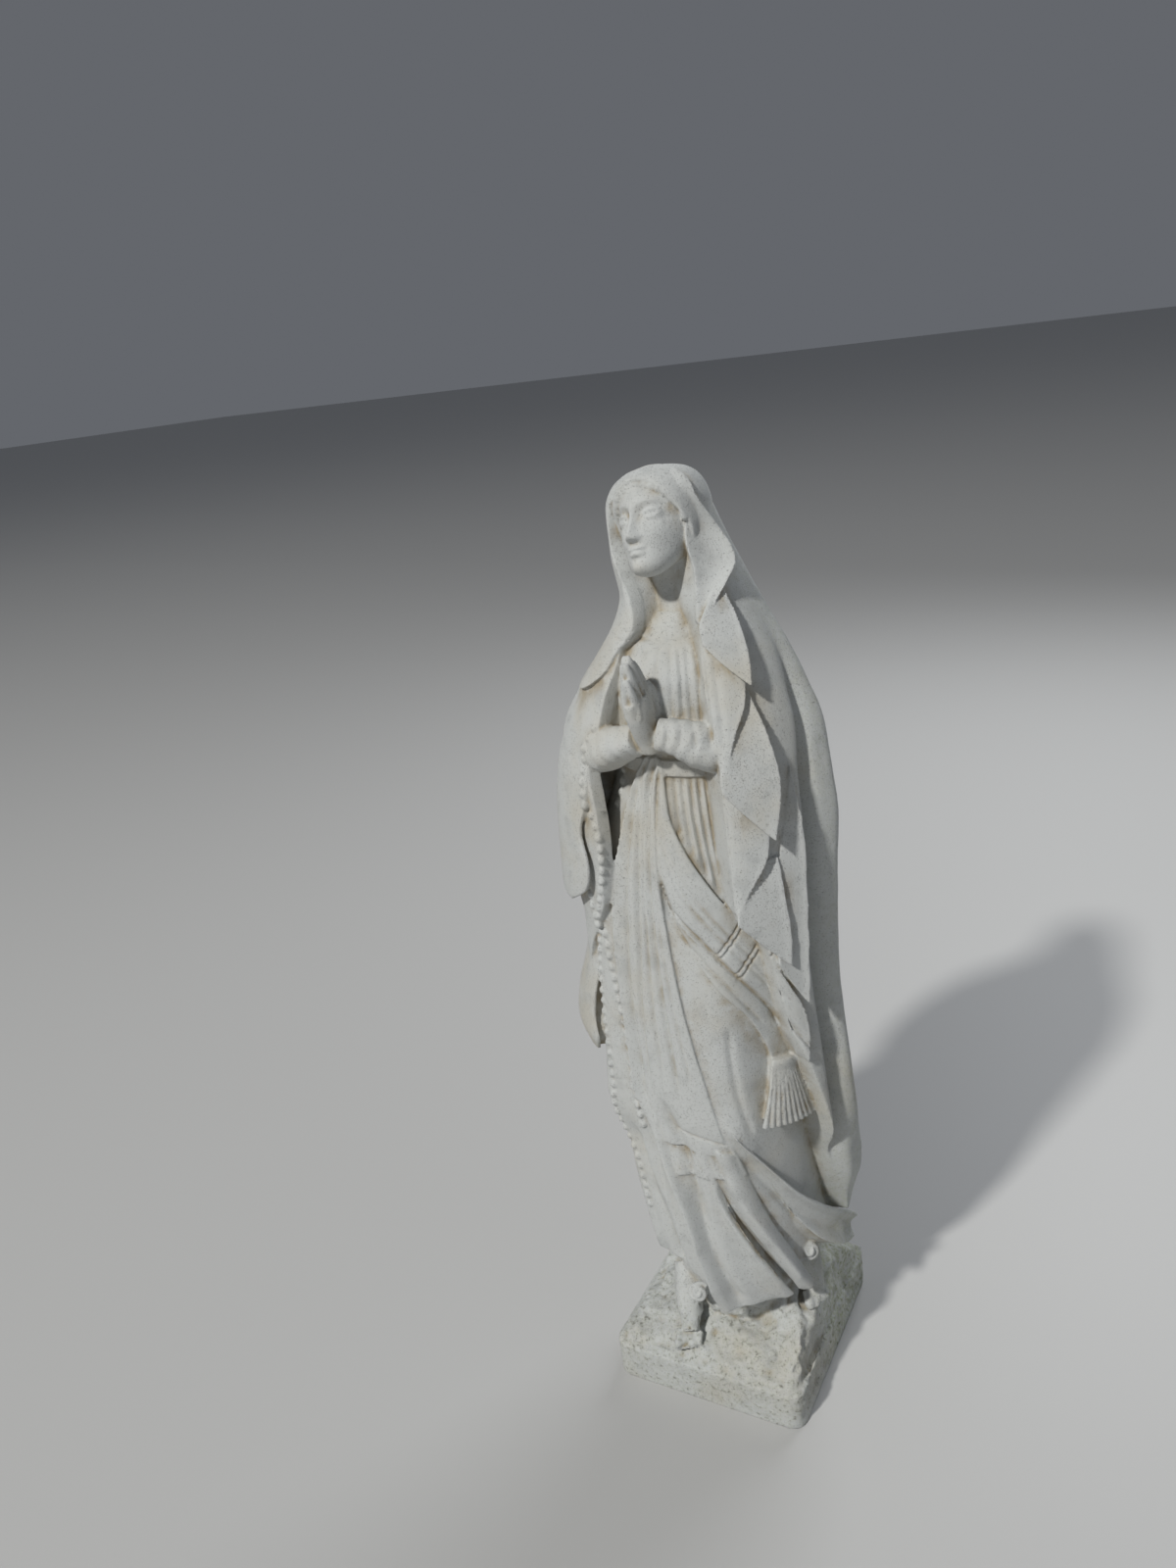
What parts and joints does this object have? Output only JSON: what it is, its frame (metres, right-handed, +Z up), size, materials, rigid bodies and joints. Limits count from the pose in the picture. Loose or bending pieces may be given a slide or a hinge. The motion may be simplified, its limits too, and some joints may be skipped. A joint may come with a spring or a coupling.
{
  "type": "garden statue",
  "caption": "Standing woman in a long veil and dress with praying hands, sash and bead string, cast in one with a square rocky block.",
  "frame": {"origin": "middle of the block's underside, on the ground", "axes": "+Z up, the figure faces -Y, her left is +X"},
  "size_m": [0.3038, 0.2551, 1.0023],
  "materials": {
    "cast_stone": "matt weathered pale cast stone with fine pores"
  },
  "bodies": {
    "root": {"praying_figure": "cast_stone"}
  },
  "joints": []
}
